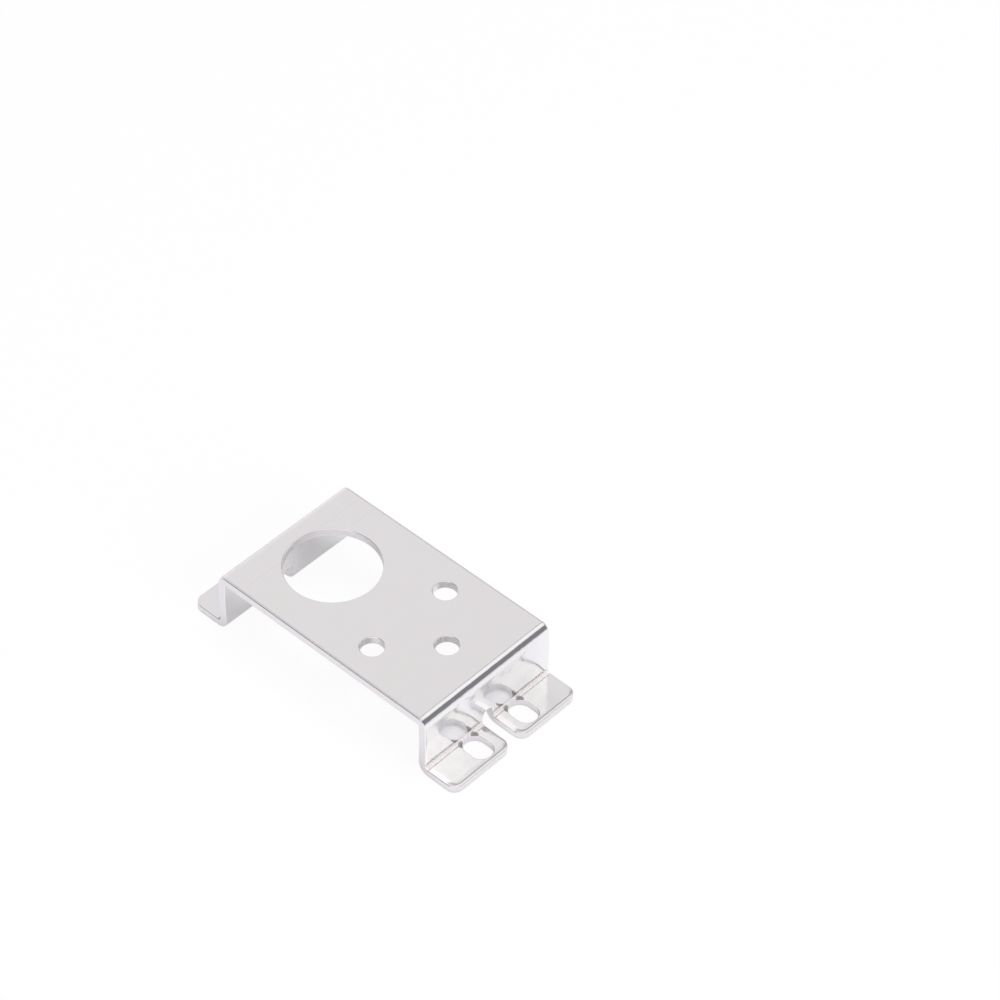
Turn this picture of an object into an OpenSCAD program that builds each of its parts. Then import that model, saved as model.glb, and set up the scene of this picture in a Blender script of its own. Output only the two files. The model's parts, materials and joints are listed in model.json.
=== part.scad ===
/* [Sheet] */
// Width of the strip that the bracket is folded from
strip_w = 37.5; // [34:0.5:60]
// Thickness of the sheet
sheet_t = 2; // [1.2:0.1:3]
// Radius that breaks the cut edges on both faces of the sheet
edge_r = 0.15; // [0.05:0.05:0.2]

/* [Folds] */
// Length over the outer faces of the two legs
body_l = 60.5; // [58:0.5:100]
// Height from the undersides of the feet to the top of the plate
body_h = 16; // [12:0.5:40]
// Inner radius of the two folds beside the plate
top_fold_r = 0.2; // [0.2:0.1:2]
// Inner radius of the two folds above the feet
foot_fold_r = 0.8; // [0.5:0.1:1.2]

/* [Feet] */
// Reach of each foot beyond the outer face of its leg
foot_reach = 8.4; // [8:0.1:16]
// Radius of the corners of the tabs
corner_r = 2.4; // [0.5:0.1:4]
// Width of the relief notch between the two tabs of a foot
notch_w = 3; // [1.5:0.1:5]
// Length of the straight sides that the notch has between the foot fold and its round top
notch_rise = 0.7; // [0.2:0.1:3]

/* [Slots] */
// Width of each slot
slot_w = 5.3; // [4:0.1:6]
// Length of each slot over its round ends
slot_l = 7; // [6:0.1:7.4]
// Gap between the outer face of a leg and the inner ends of its slots
slot_gap = 0.25; // [0.25:0.05:0.7]
// Distance between the middles of the two slots of a foot
slot_pitch = 13.8; // [12:0.1:18]

/* [Plate holes] */
// Diameter of the large hole
bore_d = 21.4; // [10:0.1:24]
// Distance of the large hole behind the middle of the plate
bore_back = 14.7; // [13:0.1:15]
// Diameter of each screw hole
screw_d = 5.3; // [3:0.1:6]
// Diameter of the circle that the screw holes lie on
screw_circle_d = 22; // [18:0.1:24]
// Distance of that circle ahead of the middle of the plate
screw_ahead = 7.6; // [7:0.1:12]

/* [Hidden] */
// Facets of a round wall in the preview
ROUND = 96;
// Facets of the small round along an edge
FINE = 24;
// How far a punch runs past the bend that rises beside it
MARGIN = 0.3;
top_out_r = top_fold_r + sheet_t;
foot_out_r = foot_fold_r + sheet_t;
plate_half = body_l / 2 - top_out_r;
leg_top = body_h - top_out_r;
notch_r = notch_w / 2;
notch_z = foot_out_r + notch_rise;
tab_w = (strip_w - notch_w) / 2;
tab_start = body_l / 2 + foot_fold_r;
tab_flat = foot_reach - foot_fold_r - corner_r;
slot_x = body_l / 2 + slot_gap + slot_l / 2;
past = foot_fold_r + MARGIN;

// Section of a strip from the middle plane, or from a cut edge, to the cut edge at Y = w: thick along X from 0
module strip_section(w, cut_edges) {
    start = cut_edges == 2 ? edge_r : 0;
    translate([0, start]) square([sheet_t, w - edge_r - start]);
    translate([edge_r, 0]) square([sheet_t - 2 * edge_r, w]);
    for (x = [edge_r, sheet_t - edge_r], y = cut_edges == 2 ? [edge_r, w - edge_r] : [w - edge_r])
        translate([x, y]) circle(edge_r, $fn = FINE);
}

// Section through a tab's rim: the cut edge is at X = corner_r, the faces are at Y = 0 and Y = sheet_t
module rim_section() {
    square([corner_r - edge_r, sheet_t]);
    translate([0, edge_r]) square([corner_r, sheet_t - 2 * edge_r]);
    for (y = [edge_r, sheet_t - edge_r]) translate([corner_r - edge_r, y]) circle(edge_r, $fn = FINE);
}

// Half section of a punch, which opens out at both faces of a sheet that lies from Y = 0 to Y = sheet_t
module punch_section(r) {
    difference() {
        translate([0, -past]) square([r + edge_r, sheet_t + 2 * past]);
        translate([r, edge_r]) square([2 * edge_r, sheet_t - 2 * edge_r]);
        for (y = [edge_r, sheet_t - edge_r]) translate([r + edge_r, y]) circle(edge_r, $fn = FINE);
    }
}

module round_punch(d, turn = 360) {
    rotate_extrude(angle = turn, $fn = ROUND) punch_section(d / 2);
}

// Punch for a slot along X, centred on the origin
module slot_punch() {
    run = slot_l - slot_w;
    for (s = [-1, 1]) translate([s * run / 2, 0, 0]) round_punch(slot_w);
    translate([-run / 2, 0, 0]) rotate([90, 0, 90]) linear_extrude(run) {
        punch_section(slot_w / 2);
        mirror([1, 0]) punch_section(slot_w / 2);
    }
}

// Straight stretch of a strip, along Z
module stretch(length, w, cut_edges) {
    linear_extrude(length) strip_section(w, cut_edges);
}

// Quarter fold of a strip about the Y axis, from facing +X to facing +Z
module fold(inner_r, w, cut_edges) {
    rotate([-90, 0, 0]) rotate_extrude(angle = -90, $fn = ROUND)
        translate([inner_r, 0]) strip_section(w, cut_edges);
}

// Corner of a tab, about the middle of its rounding, between the directions +X and +Y
module tab_corner() {
    rotate_extrude(angle = 90, $fn = ROUND) rim_section();
}

// Quarter of the bracket without its holes: it lies where X and Y are positive
module quarter() {
    translate([0, 0, body_h]) rotate([0, 90, 0]) stretch(plate_half, strip_w / 2, 1);
    translate([plate_half, 0, leg_top]) fold(top_fold_r, strip_w / 2, 1);
    translate([body_l / 2 - sheet_t, 0, notch_z]) stretch(leg_top - notch_z, strip_w / 2, 1);
    translate([body_l / 2 - sheet_t, notch_r, foot_out_r]) stretch(notch_z - foot_out_r, tab_w, 2);
    translate([tab_start, notch_r, foot_out_r]) mirror([1, 0, 0]) mirror([0, 0, 1]) fold(foot_fold_r, tab_w, 2);
    translate([tab_start, notch_r, sheet_t]) rotate([0, 90, 0]) stretch(tab_flat, tab_w, 2);
    translate([tab_start + tab_flat, strip_w / 2 - corner_r, 0]) tab_corner();
    translate([tab_start + tab_flat, notch_r + corner_r, 0]) mirror([0, 1, 0]) tab_corner();
    translate([tab_start + tab_flat, strip_w / 2 - corner_r, 0]) rotate([90, 0, 0])
        linear_extrude(tab_w - 2 * corner_r) rim_section();
}

module plate_holes() {
    translate([-bore_back, 0, body_h - sheet_t]) round_punch(bore_d);
    for (a = [-90, 0, 90]) translate([screw_ahead, 0, body_h - sheet_t]) rotate([0, 0, a])
        translate([screw_circle_d / 2, 0, 0]) round_punch(screw_d);
}

module foot_slots() {
    for (x = [-1, 1], y = [-1, 1])
        translate([x * slot_x, y * slot_pitch / 2, 0]) slot_punch();
}

// Round tops of the two relief notches
module notch_tops() {
    for (x = [-body_l / 2, body_l / 2 - sheet_t])
        translate([x, 0, notch_z]) rotate([90, 0, 90]) round_punch(notch_w, 180);
}

module bracket() {
    color([0.86, 0.85, 0.84]) difference() {
        for (x = [0, 1], y = [0, 1]) mirror([x, 0, 0]) mirror([0, y, 0]) quarter();
        plate_holes();
        foot_slots();
        notch_tops();
    }
}

bracket();
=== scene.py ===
"""Looks of the motor mounting bracket: its folded sheet, fine edges, bright plating and light tent."""

import cmath
import json
import math

import bpy
import numpy as np
from bpy.props import FloatProperty, FloatVectorProperty, IntProperty, PointerProperty
from mathutils import Matrix, Vector
from mathutils.geometry import delaunay_2d_cdt


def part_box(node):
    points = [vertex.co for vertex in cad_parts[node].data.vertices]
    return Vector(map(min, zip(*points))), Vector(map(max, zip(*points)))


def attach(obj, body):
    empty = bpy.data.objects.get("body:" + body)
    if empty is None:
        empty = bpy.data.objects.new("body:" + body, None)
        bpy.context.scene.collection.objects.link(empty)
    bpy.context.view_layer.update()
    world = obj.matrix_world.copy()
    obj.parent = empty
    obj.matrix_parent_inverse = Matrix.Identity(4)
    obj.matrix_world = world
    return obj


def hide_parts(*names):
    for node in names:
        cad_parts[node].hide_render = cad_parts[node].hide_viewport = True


bl_info = {
    "name": "Motor Mounting Bracket",
    "version": (1, 0, 0),
    "blender": (4, 5, 0),
    "location": "3D View > Sidebar > Bracket",
    "description": "Folds the bracket's sheet, plates it and sets it in a light tent",
    "category": "Object",
}

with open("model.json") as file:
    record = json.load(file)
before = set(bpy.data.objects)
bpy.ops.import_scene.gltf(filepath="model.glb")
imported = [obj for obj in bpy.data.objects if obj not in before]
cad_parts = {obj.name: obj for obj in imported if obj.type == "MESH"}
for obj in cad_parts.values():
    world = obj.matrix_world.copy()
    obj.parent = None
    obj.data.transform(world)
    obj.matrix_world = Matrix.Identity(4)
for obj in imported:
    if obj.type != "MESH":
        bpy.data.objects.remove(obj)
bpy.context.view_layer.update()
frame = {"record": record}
LOW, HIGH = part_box("bracket")
MOUNTS = {mount["name"]: mount for mount in frame["record"]["mounts"]}
MM = 0.001
QUARTER = math.pi / 2
# How near, in metres, a point lies to a line that it is on, and to another that it is one with.
ON_LINE = 1e-10
ONE_PLACE = 1e-9
# How near two points of the flat pattern are one, in millimetres, and so are two shares of one stretch.
ONE_SPOT = 1e-7
ONE_SHARE = 1e-7
# How often a stretch is halved to find where a line across the sheet meets it.
HALVINGS = 60
# Lines across each leg that its bow needs, and the part of a top fold in which its normals run ahead.
BOW_ROWS = 12
LEAN_PART = 2 / 3
# Faint lines that the bending tool left across the rear of the plate: X, and Y from and to, in millimetres.
TOOL_LINES = ((-24.5, 6.0, 17.5), (-20.1, 10.4, 18.1), (-23.3, -17.0, -7.0))


def length(name, text, millimetres):
    """A length that the user can change, in metres."""
    return FloatProperty(name=name, description=text, default=millimetres * MM, min=0, precision=5,
                         unit="LENGTH", subtype="DISTANCE")


def angle(name, text, degrees):
    """An angle that the user can change."""
    return FloatProperty(name=name, description=text, default=math.radians(degrees), subtype="ANGLE")


def share(name, text, value, most=1.0):
    """A plain number from 0 up to the most that makes sense."""
    return FloatProperty(name=name, description=text, default=value, min=0, max=most, precision=4)


def colour(name, text, value):
    """A colour that the user can change."""
    return FloatVectorProperty(name=name, description=text, default=value, size=3, min=0, max=1,
                               subtype="COLOR")


def emission(name, text, value):
    """A light's colour and strength in one, which may be brighter than white."""
    return FloatVectorProperty(name=name, description=text, default=value, size=3, min=0, max=4)


def mount_size(mount, key):
    """A size of one of the bracket's mounts, in millimetres."""
    return MOUNTS[mount]["dims"][key]


class SheetSizes(bpy.types.PropertyGroup):
    """Sizes of the folded sheet. The overall sizes come from the frame."""

    thickness: length("Thickness", "Thickness of the sheet", mount_size("gearbox_bore", "length_mm"))
    body: length("Length over the legs", "Distance between the outer faces of the legs", 60.5)
    top_fold: length("Top fold", "Inner radius of the folds beside the plate", 0.2)
    foot_fold: length("Foot fold", "Inner radius of the folds above the feet", 0.8)
    corner: length("Corner", "Radius of the tabs' corners", 2.4)
    notch: length("Notch width", "Width of the relief notch between two tabs", 3.0)
    notch_rise: length("Notch rise", "Straight stretch of the notch above the foot fold", 0.7)
    edge: length("Edge break", "Radius along the cut edges", 0.22)
    roll: length("Punch rounding", "Width of the rounding along the outer face of the plate and legs", 0.45)
    tab_roll: length("Tab rounding", "Width of the rounding along the sides of the tabs", 1.4)
    tip_roll: length("Tip rounding", "Width of the rounding along the ends of the tabs", 0.9)
    hole_roll: length("Hole rounding", "Width of the rounding round the plate's holes", 0.3)
    roll_tilt: angle("Rounding's tilt", "How far the rounding leans at the cut edge", 17)
    bow: length("Bow", "How far the legs swell outwards at half their height", 0.12)
    lean: angle("Crowded fold", "How far the top fold runs ahead of a round one", 10)
    facet: FloatProperty(name="Facet", description="Widest angle between two facets of a round shape",
                         default=math.radians(5), min=math.radians(1), max=math.radians(30),
                         subtype="ANGLE")
    edge_steps: IntProperty(name="Edge steps", description="Facets across an edge break", default=5,
                            min=1, max=16)


class PlatingLook(bpy.types.PropertyGroup):
    """Finish of the plated sheet."""

    metal: colour("Metal", "Colour of the bright plating", (0.885, 0.861, 0.872))
    tint: colour("Second tint", "Colour that the plating drifts into", (0.872, 0.867, 0.858))
    # A lighter, greener copy of the plating: painted reflection on the legs
    leg: colour("Legs", "Colour of the plating on the legs", (0.90, 0.888, 0.902))
    # A lighter copy of the plating: painted reflection along the top folds
    bend: colour("Top fold", "Colour of the plating along the top folds", (0.905, 0.885, 0.897))
    fold: colour("Foot fold", "Colour of the worked metal in the foot folds", (0.94, 0.905, 0.87))
    fold_tint: colour("Foot fold's tint", "Colour of the grain in the foot folds", (0.80, 0.755, 0.735))
    # Painted shade along the creases of the foot folds
    crease_shade: colour("Creases", "Colour of the creases along both sides of a foot fold", (0.42, 0.385, 0.365))
    # Painted dark reflections beside the slots' inner ends, near black
    mark: colour("Marks", "Colour of the tool's marks beside the slots", (0.20, 0.195, 0.21))
    edge: colour("Cut edge", "Colour of the sheared edges", (0.825, 0.79, 0.82))
    edge_tint: colour("Cut edge's tint", "Colour that the sheared edges drift into", (0.80, 0.78, 0.79))
    # How fully the painted crease shade covers the metal
    crease_shade_share: share("Crease strength", "How fully the creases cover the metal", 0.9)
    # How fully the painted dark reflections beside the slots cover the metal
    dark_reflection_share: share("Mark strength", "How fully the marks cover the metal", 0.85)
    # Painted shade across the legs and feet
    leg_shade: share("Drift", "How much darker the plating gets across the legs and feet", 0.05)
    # Painted shade along the rims beside the plate
    rim_shade: share("Burr", "How much darker the rims beside the plate are", 0.22)
    scratch: share("Tool lines", "How much darker the tool's lines across the plate are", 0.09)
    dull: share("Dull share", "How much of the worked metal doesn't shine", 0.8)
    gloss: share("Roughness", "Roughness of the rolled faces", 0.11)
    fold_gloss: share("Fold roughness", "Roughness of the metal in the foot folds", 0.36)
    edge_gloss: share("Edge roughness", "Roughness of the sheared edges", 0.22)
    ripple: share("Ripple", "Height of the waves in the legs and feet, in millimetres", 0.05)
    calm: share("Calm plate", "How much lower the waves in the plate are", 0.85)
    wrinkle: share("Wrinkle", "Height of the waves along the top folds, in millimetres", 0.03)


class StudioLight(bpy.types.PropertyGroup):
    """Light tent, floor and camera."""

    wall: colour("Tent wall", "Colour of the tent's walls", (0.8375, 0.827, 0.832))
    plain_panel: emission("Panel", "Light of the panel overhead in a first reflection", (1.0, 1.0, 0.985))
    rear_panel: emission("Panel's rear, seen twice", "Light of the panel's rear in a second reflection",
                         (0.93, 0.94, 0.95))
    panel: emission("Panel, seen twice", "Light of the panel in a second reflection", (1.155, 1.168, 1.140))
    lamp: emission("Panel's near end, seen twice", "Light of the panel's near end in a second reflection",
                   (1.34, 1.34, 1.32))
    seam: emission("Seam", "Light of the seam behind the panel", (0.50, 0.495, 0.50))
    flag: emission("Front flag", "Light of the dark flag in front", (0.22, 0.23, 0.25))
    side_flag: emission("Side flag", "Light of the dark flag at the far side", (0.34, 0.335, 0.35))
    back_flag: emission("Back flag", "Light of the dark flag at the near side, behind", (0.30, 0.30, 0.31))
    low_flag: emission("Low flag", "Light of the grey strip low down behind", (0.66, 0.65, 0.65))
    fill: emission("Fill", "Plain light from all round on dull surfaces", (0.27, 0.255, 0.30))
    key: share("Key lamp", "Power of the key lamp in watts", 4.5, 100)
    key_azimuth: angle("Key lamp's azimuth", "Where the key lamp stands", 85)
    key_elevation: angle("Key lamp's height", "How high the key lamp stands", 81)
    front: share("Front lamp", "Power of the lamp in front in watts", 4.9, 100)
    front_azimuth: angle("Front lamp's azimuth", "Where the lamp in front stands", -5)
    front_elevation: angle("Front lamp's height", "How high the lamp in front stands", 28)
    lamp_size: length("Lamps' width", "Width of the two lamps", 550)
    lamp_distance: length("Lamps' distance", "From the bracket to the two lamps", 900)
    floor: colour("Floor", "Colour of the floor", (0.93, 0.93, 0.93))
    floor_glow: share("Floor in metal", "How much of the floor that the metal shows is plain white", 0.42)
    floor_white: share("Floor in view", "How much of the floor that the camera shows is plain white", 0.95)
    azimuth: angle("Azimuth", "Camera's turn about the bracket", 47.865)
    elevation: angle("Elevation", "Camera's height over the floor", 45.241)
    roll: angle("Roll", "Camera's roll", 1.12)
    distance: length("Distance", "From the camera to the point it looks at", 805.84)
    aim: FloatVectorProperty(name="Aim", description="Point in the middle of the view", size=3, precision=5,
                             unit="LENGTH", subtype="XYZ", default=(0.002298, 0.033390, 0.023027))
    lens: FloatProperty(name="Lens", description="Focal length on a 36 mm sensor", default=136.66,
                        unit="CAMERA")


class FoldedStrip:
    """The sheet's path. s runs along it from the plate's middle, v across it, and depth in from outside."""

    def __init__(self, sizes):
        self.thickness = sizes.thickness
        self.edge = sizes.edge
        self.hole_roll = sizes.hole_roll
        self.roll_tilt = sizes.roll_tilt
        self.bow, self.lean = sizes.bow, sizes.lean
        self.half_width = HIGH.y
        self.height = HIGH.z
        self.leg_x = sizes.body / 2
        self.top_radius = sizes.top_fold + sizes.thickness
        self.foot_radius = sizes.foot_fold
        self.foot_outer = sizes.foot_fold + sizes.thickness
        self.tab_x = self.leg_x + sizes.foot_fold
        self.plate_end = self.leg_x - self.top_radius
        self.leg_start = self.plate_end + QUARTER * (sizes.top_fold + sizes.thickness / 2)
        self.leg_top = self.height - self.top_radius
        self.leg_end = self.leg_start + self.leg_top - self.foot_outer
        self.tab_start = self.leg_end + QUARTER * (sizes.foot_fold + sizes.thickness / 2)
        self.tip = self.tab_start + HIGH.x - self.tab_x
        self.roll_places = (self.leg_end, self.tab_start, self.tip - sizes.corner, self.tip)
        self.rolls = (sizes.roll, sizes.tab_roll, sizes.tab_roll, sizes.tip_roll)

    def section(self, s):
        """X and Z of the outer face at s, and how far the sheet has turned down from the plate there."""
        side = -1 if s < 0 else 1
        s = abs(s)
        if s <= self.plate_end:
            x, z, turn = s, self.height, 0.0
        elif s < self.leg_start:
            turn = QUARTER * (s - self.plate_end) / (self.leg_start - self.plate_end)
            x = self.plate_end + self.top_radius * math.sin(turn)
            z = self.leg_top + self.top_radius * math.cos(turn)
        elif s <= self.leg_end:
            leg = self.leg_end - self.leg_start
            part = math.pi * (s - self.leg_start) / leg
            x, z = self.leg_x + self.bow * math.sin(part) ** 2, self.leg_top - (s - self.leg_start)
            turn = QUARTER - math.atan(self.bow * math.sin(2 * part) * math.pi / leg)
        elif s < self.tab_start:
            turn = QUARTER * (self.tab_start - s) / (self.tab_start - self.leg_end)
            x = self.tab_x - self.foot_radius * math.sin(turn)
            z = self.foot_outer - self.foot_radius * math.cos(turn)
        else:
            x, z, turn = self.tab_x + s - self.tab_start, self.thickness, 0.0
        return side * x, z, side * turn

    def point(self, s, v, depth):
        """Place of a point of the sheet."""
        x, z, turn = self.section(s)
        return Vector((x - math.sin(turn) * depth, v, z - math.cos(turn) * depth))

    def normal(self, s):
        """Normal of the outer face. In a top fold it runs ahead of the round shape, so that the fold looks
        tighter beside the plate."""
        turn = self.section(s)[2]
        part = (abs(s) - self.plate_end) / (self.leg_start - self.plate_end) / LEAN_PART
        if 0 < part < 1:
            turn += math.copysign(self.lean * math.sin(math.pi * part) ** 2, s)
        return Vector((math.sin(turn), 0, math.cos(turn)))

    def along(self, s):
        """Direction in which s grows."""
        turn = self.section(s)[2]
        return Vector((math.cos(turn), 0, -math.sin(turn)))

    def rounding(self, s):
        """Width of the rounding that the punch leaves along the outer face's edge."""
        return float(np.interp(abs(s), self.roll_places, self.rolls))

    def foot_turn(self, x, radius):
        """Turn of the foot fold at which a face of that radius stands over x."""
        return math.acos(min(1, max(0, (self.tab_x - abs(x)) / radius)))

    def over(self, x, radius):
        """s at which the foot's face, of that radius in the fold, stands over x."""
        if abs(x) >= self.tab_x:
            s = self.tab_start + abs(x) - self.tab_x
        else:
            s = self.leg_end + (self.tab_start - self.leg_end) * self.foot_turn(x, radius) / QUARTER
        return math.copysign(s, x)

    def stations(self, facet):
        """Places of the lines across the sheet that its folds and the legs' bow need, on one half."""
        steps = max(2, math.ceil(QUARTER / facet))
        found = []
        for start, end in ((self.plate_end, self.leg_start), (self.leg_end, self.tab_start)):
            found += [start + (end - start) * k / steps for k in range(steps + 1)]
        leg = self.leg_end - self.leg_start
        found += [self.leg_start + leg * k / BOW_ROWS for k in range(1, BOW_ROWS)]
        return sorted(found)


class Rim:
    """A point of a cut edge: radius away from a core point, at an angle. Its outward direction is the
    angle's, or its opposite round a hole. Flat places are complex numbers: s or X, and v or Y."""

    def __init__(self, core, angle, radius=0.0, hollow=False):
        self.core, self.angle, self.radius, self.hollow = core, angle, radius, hollow

    def mix(self, other, share):
        """The point between this one and another of the same stretch."""
        return type(self)(self.core + (other.core - self.core) * share,
                          self.angle + (other.angle - self.angle) * share, self.radius, self.hollow)

    def out(self):
        """Outward direction."""
        return cmath.rect(-1 if self.hollow else 1, self.angle)

    def place(self, back=0.0):
        """Place of the edge, moved back into the sheet."""
        return self.core + cmath.rect(self.radius, self.angle) - self.out() * back


class PatternRim(Rim):
    """A rim point of the flat pattern, cut square to the sheet."""

    def rounding(self, strip):
        """Width of the punch's rounding on the outer face."""
        return strip.rounding(self.place().real)

    def domain(self, strip, outer):
        """Its place in the pattern, where the flat of a face ends."""
        return self.place(self.rounding(strip) if outer else strip.edge)

    def profile(self, strip, steps):
        """Points and normals from the outer face over the cut edge to the inner face."""
        rows = []
        for sense, turn in edge_turns(steps, strip.roll_tilt):
            if sense > 0:
                inset, depth = edge_curve(strip.edge, turn, self.rounding(strip), strip.roll_tilt)
            else:
                inset, drop = edge_curve(strip.edge, turn)
                depth = strip.thickness - drop
            spot = self.place(inset)
            out = strip.along(spot.real) * self.out().real + Vector((0, self.out().imag, 0))
            rows.append((strip.point(spot.real, spot.imag, depth),
                         out * math.sin(turn) + strip.normal(spot.real) * sense * math.cos(turn)))
        return rows


class HoleRim(PatternRim):
    """A rim point of a round hole in the plate."""

    def rounding(self, strip):
        return strip.hole_roll


class SlotRim(Rim):
    """A rim point of a slot, which is punched straight down through the foot and the end of its fold."""

    def domain(self, strip, outer):
        spot = self.place(strip.edge)
        return complex(strip.over(spot.real, strip.foot_radius if outer else strip.foot_outer), spot.imag)

    def profile(self, strip, steps):
        out = Vector((self.out().real, self.out().imag, 0))
        rows = []
        for sense, turn in edge_turns(steps):
            inset, drop = edge_curve(strip.edge, turn)
            spot = self.place(inset)
            s = strip.over(spot.real, strip.foot_radius if sense > 0 else strip.foot_outer)
            face = strip.point(s, spot.imag, 0 if sense > 0 else strip.thickness)
            rows.append((Vector((spot.real, spot.imag, face.z - sense * drop)),
                         out * math.sin(turn) + strip.normal(s) * sense * math.cos(turn)))
        return rows


def edge_turns(steps, tilt=0.0):
    """Turns over the outer face's rounding, if it has one, its corner, and back over the inner corner."""
    outer = [tilt * k / steps for k in range(steps)] if tilt else []
    outer += [tilt + (QUARTER - tilt) * k / steps for k in range(steps + 1)]
    inner = [QUARTER * k / steps for k in range(steps, -1, -1)]
    return [(1, turn) for turn in outer] + [(-1, turn) for turn in inner]


def edge_curve(radius, turn, width=0.0, tilt=0.0):
    """How far back from the cut edge, and how far below the face, the sheet lies where it has turned so far
    from the face: over a rounding that dips ever faster, up to its tilt, then round a small corner."""
    run = max(0, width - radius * (1 - math.sin(tilt)))
    dip = run * math.tan(tilt) / 2
    if turn < tilt:
        part = math.tan(turn) / math.tan(tilt)
        return width - run * part, dip * part ** 2
    return radius * (1 - math.sin(turn)), dip + radius * (math.cos(tilt) - math.cos(turn))


def arc(kind, core, start, end, radius, facet, hollow=False):
    """Rim points round a core from one angle to another."""
    steps = max(2, math.ceil(abs(end - start) / facet))
    return [kind(core, start + (end - start) * k / steps, radius, hollow) for k in range(steps + 1)]


def line(kind, start, end, angle, radius=0.0, hollow=False):
    """The two ends of a straight stretch."""
    return [kind(start, angle, radius, hollow), kind(end, angle, radius, hollow)]


def mirrored(stretch, along_s, along_v):
    """A stretch in the mirror, with its points in the opposite order where that keeps the loop's sense."""
    copies = []
    for rim in stretch:
        core = complex(rim.core.real * along_s, rim.core.imag * along_v)
        angle = math.atan2(math.sin(rim.angle) * along_v, math.cos(rim.angle) * along_s)
        copies.append(type(rim)(core, angle, rim.radius, rim.hollow))
    for one, two in zip(copies, copies[1:]):
        two.angle += 2 * math.pi * round((one.angle - two.angle) / (2 * math.pi))
    return copies if along_s * along_v > 0 else copies[::-1]


def outline(strip, sizes):
    """Stretches of the sheet's outer edge, with the notches, round the whole pattern."""
    half_notch = sizes.notch / 2
    corner_s = strip.tip - sizes.corner
    outer_v, inner_v = strip.half_width - sizes.corner, half_notch + sizes.corner
    notch_s = strip.leg_end - sizes.notch_rise
    quarter = [
        line(PatternRim, complex(0, strip.half_width), complex(corner_s, strip.half_width), QUARTER),
        arc(PatternRim, complex(corner_s, outer_v), QUARTER, 0, sizes.corner, sizes.facet),
        line(PatternRim, complex(strip.tip, outer_v), complex(strip.tip, inner_v), 0),
        arc(PatternRim, complex(corner_s, inner_v), 0, -QUARTER, sizes.corner, sizes.facet),
        line(PatternRim, complex(corner_s, half_notch), complex(notch_s, half_notch), -QUARTER),
        arc(PatternRim, complex(notch_s, 0), QUARTER, 2 * QUARTER, half_notch, sizes.facet, hollow=True),
    ]
    loop = list(quarter)
    loop += [mirrored(stretch, 1, -1) for stretch in reversed(quarter)]
    loop += [mirrored(stretch, -1, -1) for stretch in quarter]
    loop += [mirrored(stretch, -1, 1) for stretch in reversed(quarter)]
    return loop


def round_hole(centre, radius, facet):
    """The rim of a round hole in the plate."""
    return [arc(HoleRim, centre, 0, 4 * QUARTER, radius, facet, hollow=True)]


def slot_hole(centre, run, radius, facet):
    """The rim of a slot along X with round ends."""
    right, left = centre + run / 2, centre - run / 2
    return [
        arc(SlotRim, right, -QUARTER, QUARTER, radius, facet, True),
        line(SlotRim, right, left, QUARTER, radius, True),
        arc(SlotRim, left, QUARTER, 3 * QUARTER, radius, facet, True),
        line(SlotRim, left, right, 3 * QUARTER, radius, True),
    ]


def holes(sizes):
    """Rims of all holes and slots, placed by the bracket's mounts."""
    found = []
    for name in ("gearbox_bore", "end_screw"):
        x, y, _ = MOUNTS[name]["pos_m"]
        found.append(round_hole(complex(x, y), mount_size(name, "r_mm") * MM, sizes.facet))
    x, y, _ = MOUNTS["side_screws"]["pos_m"]
    reach = mount_size("side_screws", "spacing_y_mm") * MM / 2
    for side in (-1, 1):
        radius = mount_size("side_screws", "hole_r_mm") * MM
        found.append(round_hole(complex(x, y + side * reach), radius, sizes.facet))
    radius = mount_size("foot_slots", "hole_r_mm") * MM
    run = mount_size("foot_slots", "slot_length_mm") * MM - 2 * radius
    for end in (-1, 1):
        for side in (-1, 1):
            centre = complex(end * mount_size("foot_slots", "spacing_x_mm"),
                             side * mount_size("foot_slots", "spacing_y_mm")) * MM / 2
            found.append(slot_hole(centre, run, radius, sizes.facet))
    return found


def crossing(one, two, strip, station, outer):
    """How far between two rim points a line across the sheet passes, as a share of the way, or None."""
    def past(rim):
        return rim.domain(strip, outer).real - station
    first, second = past(one), past(two)
    if min(abs(first), abs(second)) < ON_LINE or first * second > 0:
        return None
    low, high = 0.0, 1.0
    for _ in range(HALVINGS):
        middle = (low + high) / 2
        if past(one.mix(two, middle)) * first > 0:
            low = middle
        else:
            high = middle
    return (low + high) / 2


def closed_loop(stretches, strip, stations):
    """One loop of rim points from its stretches, with a point wherever a line across the sheet meets it."""
    loop = []
    for stretch in stretches:
        points = [stretch[0]]
        for one, two in zip(stretch, stretch[1:]):
            shares = set()
            for station in stations:
                for outer in (True, False):
                    found = crossing(one, two, strip, station, outer)
                    if found is not None and not any(abs(found - known) < ONE_SHARE for known in shares):
                        shares.add(found)
            points += [one.mix(two, share) for share in sorted(shares)]
            points.append(two)
        loop += points[:-1]
    return loop


def inside(points, loops):
    """Which points lie in the pattern: an odd number of edges pass to one side of them."""
    odd = np.zeros(len(points), bool)
    for loop in loops:
        for one, two in zip(loop, np.roll(loop, -1, axis=0)):
            spans = (one[1] > points[:, 1]) != (two[1] > points[:, 1])
            rise = two[1] - one[1] if two[1] != one[1] else 1.0
            at = one[0] + (points[:, 1] - one[1]) * (two[0] - one[0]) / rise
            odd ^= spans & (points[:, 0] < at)
    return odd


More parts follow.
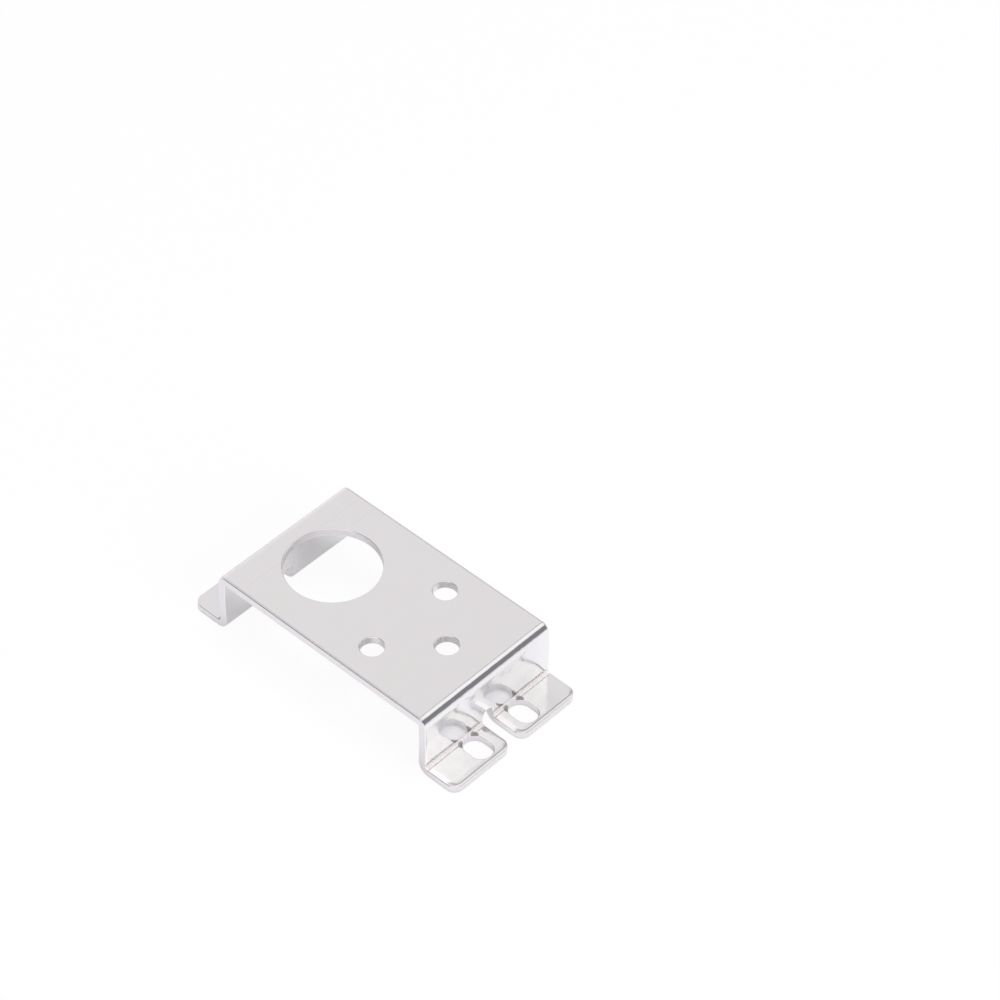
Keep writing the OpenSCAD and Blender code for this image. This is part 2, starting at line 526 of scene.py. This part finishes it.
def face_triangles(strip, loops, stations, outer):
    """Triangles of one face of the sheet, as numbers of rim points."""
    spots = [rim.domain(strip, outer) for loop in loops for rim in loop]
    edges = []
    start = 0
    for loop in loops:
        count = len(loop)
        edges += [(start + k, start + (k + 1) % count) for k in range(count)]
        start += count
    for station in stations:
        on_line = sorted((k for k, spot in enumerate(spots) if abs(spot.real - station) < ON_LINE),
                         key=lambda k: spots[k].imag)
        if len(on_line) % 2:
            raise RuntimeError(f"the line across the sheet at {station:.5f} m meets an odd number of edges")
        edges += list(zip(on_line[::2], on_line[1::2]))
    flat = [Vector((spot.real, spot.imag)) / MM for spot in spots]
    verts, _, faces, origins, _, _ = delaunay_2d_cdt(flat, edges, [], 0, ONE_SPOT)
    if any(not found for found in origins):
        raise RuntimeError("two lines of the sheet's pattern cross away from their ends")
    middles = np.array([tuple(v) for v in verts])[np.array(faces)].mean(axis=1)
    polygons = []
    start = 0
    for loop in loops:
        polygons.append(np.array([tuple(spot) for spot in flat[start:start + len(loop)]]))
        start += len(loop)
    return [tuple(origins[k][0] for k in face)
            for face, keep in zip(faces, inside(middles, polygons)) if keep]


class MeshParts:
    """Points, faces, corner normals and material numbers of a mesh in the making."""

    def __init__(self):
        self.points, self.faces, self.normals, self.finish = [], [], [], []

    def add_point(self, place):
        self.points.append(place)
        return len(self.points) - 1

    def add_face(self, corners, normals, finish):
        """Adds a face that looks the way its normals do, without corners that coincide."""
        keep = [k for k, corner in enumerate(corners)
                if (self.points[corner] - self.points[corners[k - 1]]).length > ONE_PLACE]
        corners, normals = [corners[k] for k in keep], [normals[k] for k in keep]
        if len(corners) < 3:
            return
        one, two, three = (self.points[k] for k in corners[:3])
        facing = (two - one).cross(three - one)
        if facing.dot(sum(normals, Vector())) < 0:
            corners, normals = corners[::-1], normals[::-1]
        self.faces.append(corners)
        self.normals += normals
        self.finish.append(finish)

    def mesh(self, name):
        """The finished mesh, with the true normals of its shape."""
        made = bpy.data.meshes.new(name)
        made.from_pydata(self.points, [], self.faces)
        made.polygons.foreach_set("use_smooth", [True] * len(self.faces))
        made.polygons.foreach_set("material_index", self.finish)
        made.normals_split_custom_set([normal.normalized() for normal in self.normals])
        made.update()
        return made


FACE_FINISH, EDGE_FINISH = 0, 1


def sheet_mesh(sizes):
    """The whole bracket: both faces of the sheet, and all cut edges between them."""
    strip = FoldedStrip(sizes)
    half = strip.stations(sizes.facet)
    stations = [-s for s in half[::-1]] + half
    edges = [outline(strip, sizes)] + holes(sizes)
    loops = [closed_loop(stretches, strip, stations) for stretches in edges]
    parts = MeshParts()
    tops, bottoms = [], []
    steps = sizes.edge_steps
    for loop in loops:
        rows = []
        for rim in loop:
            profile = rim.profile(strip, steps)
            ids = [parts.add_point(place) for place, _ in profile]
            rows.append((ids, [normal for _, normal in profile]))
        count = len(rows[0][0])
        for k, (ids, normals) in enumerate(rows):
            last_ids, last_normals = rows[k - 1]
            for r in range(count - 1):
                wall = r == count - 2 - steps
                parts.add_face([last_ids[r], ids[r], ids[r + 1], last_ids[r + 1]],
                               [last_normals[r], normals[r], normals[r + 1], last_normals[r + 1]],
                               EDGE_FINISH if wall else FACE_FINISH)
        tops += [ids[0] for ids, _ in rows]
        bottoms += [ids[-1] for ids, _ in rows]
    rims = [rim for loop in loops for rim in loop]
    for outer, ids, sense in ((True, tops, 1), (False, bottoms, -1)):
        for triangle in face_triangles(strip, loops, stations, outer):
            normals = [strip.normal(rims[k].domain(strip, outer).real) * sense for k in triangle]
            parts.add_face([ids[k] for k in triangle], normals, FACE_FINISH)
    return parts.mesh("folded_sheet")


def new_material(name):
    """An empty material, and a shorthand that adds a node to it and sets its values."""
    material = bpy.data.materials.new(name)
    material.use_nodes = True
    material.node_tree.nodes.clear()
    return material, node_maker(material.node_tree)


def node_maker(tree):
    """A function that adds a node to the tree, sets its settings, and links or sets its inputs."""
    def make(kind, inputs=None, **settings):
        node = tree.nodes.new(kind)
        for key, value in settings.items():
            setattr(node, key, value)
        for key, value in (inputs or {}).items():
            if isinstance(value, bpy.types.NodeSocket):
                tree.links.new(value, node.inputs[key])
            else:
                node.inputs[key].default_value = value
        return node
    return make


def in_millimetres(make):
    """Object coordinates in millimetres."""
    place = make("ShaderNodeTexCoord").outputs["Object"]
    return make("ShaderNodeVectorMath", {0: place, "Scale": 1 / MM}, operation="SCALE").outputs[0]


def calc(make, operation, *values):
    """Result of a piece of arithmetic."""
    return make("ShaderNodeMath", dict(enumerate(values)), operation=operation).outputs[0]


def plus(make, one, two):
    return calc(make, "ADD", one, two)


def minus(make, one, two):
    return calc(make, "SUBTRACT", one, two)


def times(make, one, two):
    return calc(make, "MULTIPLY", one, two)


def larger(make, one, two):
    return calc(make, "MAXIMUM", one, two)


def over(make, one, two, least=0.001):
    """One value divided by another, which is never taken as less than the least."""
    return calc(make, "DIVIDE", one, larger(make, two, least))


def distance(make, one, two):
    """Distance over two lengths at right angles."""
    return calc(make, "SQRT", plus(make, times(make, one, one), times(make, two, two)))


def ramp(make, value, start, end, at=0.0):
    """A smooth rise from 0 at one value to 1 at another, both counted from a third."""
    low, high = (0.0, 1.0) if start < end else (1.0, 0.0)
    inputs = {"Value": value, 1: at + min(start, end), 2: at + max(start, end), 3: low, 4: high}
    return make("ShaderNodeMapRange", inputs, interpolation_type="SMOOTHSTEP").outputs[0]


def band(make, value, low, high, soft, at=0.0):
    """1 where a value lies between two others, with soft ends."""
    rise = ramp(make, value, low - soft, low + soft, at)
    return times(make, rise, ramp(make, value, high + soft, high - soft, at))


def mix_colour(make, part, one, two):
    """One colour turned into another by a share."""
    ends = [end if isinstance(end, bpy.types.NodeSocket) else (*end, 1) for end in (one, two)]
    return make("ShaderNodeMix", {0: part, 6: ends[0], 7: ends[1]}, data_type="RGBA").outputs[2]


def noise(make, place, cells, detail=2.0):
    """Smooth noise about 0.5, with so many cells to the millimetre."""
    return make("ShaderNodeTexNoise", {"Vector": place, "Scale": cells, "Detail": detail}).outputs["Fac"]


# Borders of the finish, in millimetres. Two numbers start and end a ramp, and three are a band's ends and
# their softness. First, the distance from the line that a foot fold turns round
FOLD_HOLLOW = (1.35, 1.15)
# Past a foot fold, along the leg or the foot
FOLD_END = (0.10, 0.0)
# Above the line that the fold turns round, and ahead of it, where shade is painted along the creases
UPPER_CREASE_SHADE = (-0.04, 0.19, 0.05)
LOWER_CREASE_SHADE = (-0.20, 0.03, 0.05)
# Distance from the shoulder of a slot's inner end, where dark reflections are painted
SLOT_DARK_REFLECTION = (1.05, 0.65)
# From the leg's outer face, and up from the floor, where the legs' lighter painted reflection lies
LEG_FACE = (-0.4, -0.2)
LEG_FOOT = (3.2, 4.2)
# From where the plate ends and from where the leg starts: the top folds, with their lighter painted
# reflection and wrinkles
BEND_AHEAD = (-0.1, 0.2)
BEND_ABOVE = (-0.2, 0.1)
# From the leg's outer face, then across the bracket, where painted shade darkens the plating and where it
# stops
LEG_SHADE_AHEAD = (-0.65, -0.05)
LEG_SHADE_START = (-18.0, 2.0)
LEG_SHADE_STOP = (17.0, 13.0)
# From the plate's rim and from its top, where shade is painted along the rims
RIM_SHADE_EDGE = (-0.6, -0.45)
RIM_SHADE_TOP = (-0.8, -0.5)
# Half the width of a tool line, and the softness of its sides and of its ends
LINE_HALF, LINE_SIDE, LINE_END = 0.06, 0.05, 0.6
# How far a ragged border wavers in all
BORDER_JAG = 0.25
# Levels of a noise between which a colour turns into another
TINT_TURN = (0.35, 0.65)
FOLD_TURN = (0.35, 0.7)
SPECKLE_TURN = (0.30, 0.62)
GRAIN_TURN = (0.2, 0.6)


class SurfaceMap:
    """Nodes that say where on the bracket a point of its surface lies, in millimetres. x is counted from
    the middle towards both ends. Each method gives a share from 0 to 1."""

    def __init__(self, make, strip):
        self.make, self.strip = make, strip
        self.place = in_millimetres(make)
        self.signed_x, self.y, self.z = make("ShaderNodeSeparateXYZ", {0: self.place}).outputs
        self.x = calc(make, "ABSOLUTE", self.signed_x)
        self.ahead = minus(make, self.x, strip.tab_x / MM)
        self.above = minus(make, self.z, strip.foot_outer / MM)
        self.hollow = ramp(make, distance(make, self.ahead, self.above), *FOLD_HOLLOW)
        self.grain = noise(make, self.place, cells=3.5, detail=3.0)
        self.jag = times(make, minus(make, noise(make, self.place, cells=1.3), 0.5), BORDER_JAG)

    def worked(self):
        """The hollow side of the foot folds, up to ragged borders."""
        past = plus(self.make, larger(self.make, self.ahead, self.above), self.jag)
        return times(self.make, self.hollow, ramp(self.make, past, *FOLD_END))

    def crease_shades(self):
        """Painted shade: fine speckled dark lines along both sides of the foot folds, where they meet the
        leg and the foot.
        """
        upper = band(self.make, plus(self.make, self.above, self.jag), *UPPER_CREASE_SHADE)
        lower = band(self.make, plus(self.make, self.ahead, self.jag), *LOWER_CREASE_SHADE)
        speckle = ramp(self.make, noise(self.make, self.place, cells=3.0), *SPECKLE_TURN)
        return times(self.make, times(self.make, self.hollow, larger(self.make, upper, lower)), speckle)

    def dark_reflections(self):
        """Painted dark reflections on the two shoulders of each slot's inner end, in the hollow of the foot
        folds.
        """
        radius = mount_size("foot_slots", "hole_r_mm")
        end = (mount_size("foot_slots", "spacing_x_mm") - mount_size("foot_slots", "slot_length_mm")) / 2
        middle = mount_size("foot_slots", "spacing_y_mm") / 2
        shoulder = radius * math.sqrt(0.5)
        across = calc(self.make, "ABSOLUTE", minus(self.make, calc(self.make, "ABSOLUTE", self.y), middle))
        aside = minus(self.make, across, shoulder)
        ahead = minus(self.make, self.x, end + radius - shoulder)
        near = ramp(self.make, distance(self.make, aside, ahead), *SLOT_DARK_REFLECTION)
        return times(self.make, self.hollow, near)

    def legs(self):
        """The outer faces of the legs."""
        face = ramp(self.make, self.x, *LEG_FACE, at=self.strip.leg_x / MM)
        return times(self.make, face, ramp(self.make, self.z, *LEG_FOOT))

    def bends(self):
        """The outer faces of the top folds."""
        ahead = ramp(self.make, self.x, *BEND_AHEAD, at=self.strip.plate_end / MM)
        return times(self.make, ahead, ramp(self.make, self.z, *BEND_ABOVE, at=self.strip.leg_top / MM))

    def leg_shade(self):
        """Painted shade: a slow darkening across the legs and feet."""
        ahead = ramp(self.make, self.x, *LEG_SHADE_AHEAD, at=self.strip.leg_x / MM)
        start = ramp(self.make, self.y, *LEG_SHADE_START)
        stop = ramp(self.make, self.y, *LEG_SHADE_STOP)
        return times(self.make, ahead, times(self.make, start, stop))

    def coarse(self):
        """Patches of the coarse grain."""
        return ramp(self.make, self.grain, *GRAIN_TURN)

    def rim_shade(self):
        """Painted shade: a ragged dark line along the rims beside the plate."""
        across = plus(self.make, calc(self.make, "ABSOLUTE", self.y), self.jag)
        rim = ramp(self.make, across, *RIM_SHADE_EDGE, at=self.strip.half_width / MM)
        top = ramp(self.make, self.z, *RIM_SHADE_TOP, at=self.strip.height / MM)
        return times(self.make, times(self.make, rim, top), self.coarse())

    def tool_line(self, at, start, end):
        """A faint line across the plate, at one X and from one Y to another."""
        across = band(self.make, self.signed_x, -LINE_HALF, LINE_HALF, LINE_SIDE, at)
        line = times(self.make, across, band(self.make, self.y, start, end, LINE_END))
        return times(self.make, line, self.coarse())

    def plate(self):
        """The flat plate, from half way round the top folds on."""
        return ramp(self.make, self.z, self.strip.leg_top / MM, self.strip.height / MM)


def plating_colour(make, look, spot, worked):
    """Colour of the plating before its painted shade: two tints on the sheet, lighter painted reflections
    on the legs and top folds, the foot folds' own colours, painted shade in their creases and painted dark
    reflections beside the slots.
    """
    tints = ramp(make, noise(make, spot.place, cells=0.11), *TINT_TURN)
    tone = mix_colour(make, tints, look.metal, look.tint)
    # Lighter painted reflection on the legs
    tone = mix_colour(make, spot.legs(), tone, look.leg)
    # Lighter painted reflection along the top folds
    tone = mix_colour(make, spot.bends(), tone, look.bend)
    fold = mix_colour(make, ramp(make, spot.grain, *FOLD_TURN), look.fold, look.fold_tint)
    tone = mix_colour(make, worked, tone, fold)
    # Painted shade along the foot folds' creases
    tone = mix_colour(make, times(make, spot.crease_shades(), look.crease_shade_share), tone, look.crease_shade)
    # Painted dark reflections beside the slots' inner ends
    return mix_colour(make, times(make, spot.dark_reflections(), look.dark_reflection_share), tone, look.mark)


def plating_shade(make, look, spot):
    """How much darker the plating is: painted shade across the legs and feet and along the rims beside the
    plate, and the tool's lines.
    """
    # Painted shade across the legs and feet
    shade = times(make, spot.leg_shade(), look.leg_shade)
    # Painted shade along the rims beside the plate
    shade = larger(make, shade, times(make, spot.rim_shade(), look.rim_shade))
    for at, start, end in TOOL_LINES:
        shade = larger(make, shade, times(make, spot.tool_line(at, start, end), look.scratch))
    return shade


def plating_height(make, look, spot):
    """Height of the waves in the plating, in millimetres."""
    calm = minus(make, 1.0, times(make, spot.plate(), look.calm))
    waves = times(make, minus(make, noise(make, spot.place, cells=0.35), 0.5), calm)
    wrinkles = times(make, noise(make, spot.place, cells=0.9), spot.bends())
    return plus(make, times(make, waves, look.ripple), times(make, wrinkles, look.wrinkle))


def plating_material(look, sizes):
    """Bright plating: a near mirror with faint waves and tints, dull and pale in the foot folds, with
    painted shade and painted reflections.
    """
    material, make = new_material("bright_plating")
    spot = SurfaceMap(make, FoldedStrip(sizes))
    worked = spot.worked()
    tone = plating_colour(make, look, spot, worked)
    # The painted shade darkens the base colour
    light = minus(make, 1.0, plating_shade(make, look, spot))
    base = make("ShaderNodeVectorMath", {0: tone, "Scale": light}, operation="SCALE").outputs[0]
    rough = plus(make, look.gloss, times(make, worked, look.fold_gloss - look.gloss))
    height = plating_height(make, look, spot)
    bump = make("ShaderNodeBump", {"Strength": 1.0, "Distance": 1 * MM, "Height": height})
    shader = make("ShaderNodeBsdfPrincipled", {
        "Base Color": base,
        "Metallic": minus(make, 1.0, times(make, worked, look.dull)),
        "Roughness": rough,
        "Normal": bump.outputs[0],
    })
    make("ShaderNodeOutputMaterial", {"Surface": shader.outputs[0]})
    return material


def edge_material(look):
    """Sheared edges under the plating: the same metal, a little rougher."""
    material, make = new_material("plated_cut_edge")
    streaks = ramp(make, noise(make, in_millimetres(make), cells=0.9), *TINT_TURN)
    shader = make("ShaderNodeBsdfPrincipled", {
        "Base Color": mix_colour(make, streaks, look.edge, look.edge_tint),
        "Metallic": 1.0,
        "Roughness": look.edge_gloss,
    })
    make("ShaderNodeOutputMaterial", {"Surface": shader.outputs[0]})
    return material


class BRACKET_OT_fold_sheet(bpy.types.Operator):
    """Fold the bracket's sheet and plate it"""

    bl_idname = "bracket.fold_sheet"
    bl_label = "Fold the sheet"

    def execute(self, context):
        sizes, look = context.scene.bracket_sheet, context.scene.bracket_plating
        piece = bpy.data.objects.new("folded_sheet", sheet_mesh(sizes))
        piece.data.materials.append(plating_material(look, sizes))
        piece.data.materials.append(edge_material(look))
        context.scene.collection.objects.link(piece)
        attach(piece, "root")
        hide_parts("bracket")
        return {"FINISHED"}


# Borders of the tent's panel and flags, as the bracket sees them. Two numbers start and end a ramp, and
# three are a band's ends and their softness. Overhead they are lengths along X or Y for each unit up.
PANEL_X = (-0.12, 0.80, 0.07)
PANEL_Y = (1.8, 1.4)
PANEL_REAR = (0.40, 0.62)
PANEL_NEAR = (0.72, 0.40)
SEAM_X = (-0.46, -0.18, 0.05)
SEAM_Y = (0.2, 1.6, 0.2)
# In front they are lengths up or along Y for each unit along X.
FLAG_Z = (0.21, 0.97, 0.05)
FLAG_Y = (-0.2, 1.15, 0.25)
# All round they are degrees of turn and of rise.
SIDE_TURN = (62, 112, 10)
SIDE_RISE = (9, 33, 5)
BACK_TURN = (-160, -92, 8)
BACK_RISE = (2, 56, 5)
LOW_TURN = (100, 140, 10)
LOW_RISE = (14, 6)
WHITE = (1, 1, 1)


def tent_tone(make, light, twice):
    """Light of the tent in each direction. Its panel is brighter in a second reflection."""
    generated = make("ShaderNodeTexCoord").outputs["Generated"]
    x, y, z = make("ShaderNodeSeparateXYZ", {0: generated}).outputs
    x_up, y_up = over(make, x, z), over(make, y, z)
    z_out, y_out = over(make, z, x), over(make, y, x)
    turn = times(make, calc(make, "ARCTAN2", y, x), math.degrees(1))
    rise = times(make, calc(make, "ARCSINE", z), math.degrees(1))
    panel = times(make, band(make, x_up, *PANEL_X), ramp(make, y_up, *PANEL_Y))
    bright = mix_colour(make, ramp(make, x_up, *PANEL_REAR), light.rear_panel, light.panel)
    bright = mix_colour(make, ramp(make, y_up, *PANEL_NEAR), bright, light.lamp)
    bright = mix_colour(make, twice, light.plain_panel, bright)
    flags = (
        (band(make, x_up, *SEAM_X), band(make, y_up, *SEAM_Y), light.seam),
        (band(make, turn, *LOW_TURN), ramp(make, rise, *LOW_RISE), light.low_flag),
        (band(make, turn, *SIDE_TURN), band(make, rise, *SIDE_RISE), light.side_flag),
        (band(make, turn, *BACK_TURN), band(make, rise, *BACK_RISE), light.back_flag),
        (band(make, z_out, *FLAG_Z), band(make, y_out, *FLAG_Y), light.flag),
    )
    tone = mix_colour(make, panel, light.wall, bright)
    for one, two, dark in flags:
        tone = mix_colour(make, times(make, one, two), tone, dark)
    return tone


def tent_world(light):
    """What the metal shows: a tent's grey walls, a bright panel overhead with a dark seam, and dark flags.
    The camera sees plain white, and dull surfaces a plain level that fills the lamps' shadows."""
    world = bpy.data.worlds.new("light_tent")
    world.use_nodes = True
    world.node_tree.nodes.clear()
    make = node_maker(world.node_tree)
    path = make("ShaderNodeLightPath").outputs
    twice = calc(make, "GREATER_THAN", path["Glossy Depth"], 1.5)
    dull = calc(make, "GREATER_THAN", path["Diffuse Depth"], 0.5)
    tone = mix_colour(make, dull, tent_tone(make, light, twice), light.fill)
    tone = mix_colour(make, path["Is Camera Ray"], tone, WHITE)
    make("ShaderNodeOutputWorld", {0: make("ShaderNodeBackground", {"Color": tone}).outputs[0]})
    world.cycles.sampling_method = "NONE"
    return world


def lamp(light, name, power, turn, rise):
    """A soft round lamp aimed at the bracket. It lights dull surfaces, and the metal doesn't show it."""
    data = bpy.data.lights.new(name, "AREA")
    data.shape = "DISK"
    data.size = light.lamp_size
    data.energy = power
    away = Vector((math.cos(turn) * math.cos(rise), math.sin(turn) * math.cos(rise), math.sin(rise)))
    made = bpy.data.objects.new(name, data)
    made.matrix_world = (Matrix.Translation(away * light.lamp_distance)
                         @ away.to_track_quat("Z", "Y").to_matrix().to_4x4())
    made.visible_glossy = False
    bpy.context.scene.collection.objects.link(made)


def floor_material(light):
    """Pale floor that keeps the bracket's shadow, and shows white to the camera and in the metal. It is
    clear from below, so that the bracket's underside can be seen."""
    material, make = new_material("pale_floor")
    path = make("ShaderNodeLightPath").outputs
    sharp = calc(make, "LESS_THAN", path["Diffuse Depth"], 0.5)
    in_view = times(make, path["Is Camera Ray"], light.floor_white)
    in_metal = times(make, times(make, path["Is Glossy Ray"], sharp), light.floor_glow)
    lit = make("ShaderNodeBsdfDiffuse", {"Color": (*light.floor, 1)})
    white = make("ShaderNodeEmission", {"Color": (*WHITE, 1), "Strength": 1.0})
    above = make("ShaderNodeMixShader", {0: larger(make, in_view, in_metal), 1: lit.outputs[0],
                                         2: white.outputs[0]})
    back = make("ShaderNodeNewGeometry").outputs["Backfacing"]
    clear = make("ShaderNodeBsdfTransparent")
    mix = make("ShaderNodeMixShader", {0: back, 1: above.outputs[0], 2: clear.outputs[0]})
    make("ShaderNodeOutputMaterial", {"Surface": mix.outputs[0]})
    return material


def pale_floor(light):
    """A round floor, well wider than the view and a hair under the feet."""
    radius, count, gap = 3.0, 64, 0.03 * MM
    turns = [4 * QUARTER * k / count for k in range(count)]
    rim = [(radius * math.cos(turn), radius * math.sin(turn), LOW.z - gap) for turn in turns]
    mesh = bpy.data.meshes.new("floor")
    mesh.from_pydata(rim, [], [range(count)])
    mesh.materials.append(floor_material(light))
    floor = bpy.data.objects.new("floor", mesh)
    bpy.context.scene.collection.objects.link(floor)


def camera(light):
    """The camera, which looks at its aim from an azimuth and an elevation."""
    data = bpy.data.cameras.new("camera")
    data.sensor_width = 36
    data.lens = light.lens
    data.clip_start, data.clip_end = 0.01, 20
    turn, rise = light.azimuth, light.elevation
    ahead = Vector((-math.cos(turn) * math.cos(rise), math.sin(turn) * math.cos(rise), -math.sin(rise)))
    right = Vector((math.sin(turn), math.cos(turn), 0))
    up = right.cross(ahead)
    frame_axes = Matrix((right, up, -ahead)).transposed()
    seen = bpy.data.objects.new("camera", data)
    seen.matrix_world = (Matrix.Translation(Vector(light.aim) - ahead * light.distance)
                         @ frame_axes.to_4x4() @ Matrix.Rotation(light.roll, 4, "Z"))
    bpy.context.scene.collection.objects.link(seen)
    bpy.context.scene.camera = seen


class BRACKET_OT_stage(bpy.types.Operator):
    """Set up the light tent, the floor and the camera"""

    bl_idname = "bracket.stage"
    bl_label = "Set the stage"

    def execute(self, context):
        light = context.scene.bracket_studio
        context.scene.world = tent_world(light)
        context.scene.view_settings.view_transform = "Standard"
        pale_floor(light)
        lamp(light, "key", light.key, light.key_azimuth, light.key_elevation)
        lamp(light, "front", light.front, light.front_azimuth, light.front_elevation)
        camera(light)
        return {"FINISHED"}


class BRACKET_PT_panel(bpy.types.Panel):
    """Sizes, finish and stage of the bracket"""

    bl_idname = "BRACKET_PT_panel"
    bl_label = "Motor bracket"
    bl_space_type = "VIEW_3D"
    bl_region_type = "UI"
    bl_category = "Bracket"

    def draw(self, context):
        groups = (
            (context.scene.bracket_sheet, BRACKET_OT_fold_sheet),
            (context.scene.bracket_plating, None),
            (context.scene.bracket_studio, BRACKET_OT_stage),
        )
        for group, operator in groups:
            box = self.layout.box()
            for name in type(group).__annotations__:
                box.prop(group, name)
            if operator:
                box.operator(operator.bl_idname)


GROUPS = {"bracket_sheet": SheetSizes, "bracket_plating": PlatingLook, "bracket_studio": StudioLight}
CLASSES = (*GROUPS.values(), BRACKET_OT_fold_sheet, BRACKET_OT_stage, BRACKET_PT_panel)


def register():
    for cls in CLASSES:
        bpy.utils.register_class(cls)
    for name, group in GROUPS.items():
        setattr(bpy.types.Scene, name, PointerProperty(type=group))


def unregister():
    for name in GROUPS:
        delattr(bpy.types.Scene, name)
    for cls in reversed(CLASSES):
        bpy.utils.unregister_class(cls)


def main():
    register()
    bpy.ops.bracket.fold_sheet()
    bpy.ops.bracket.stage()


if __name__ == "__main__":
    main()
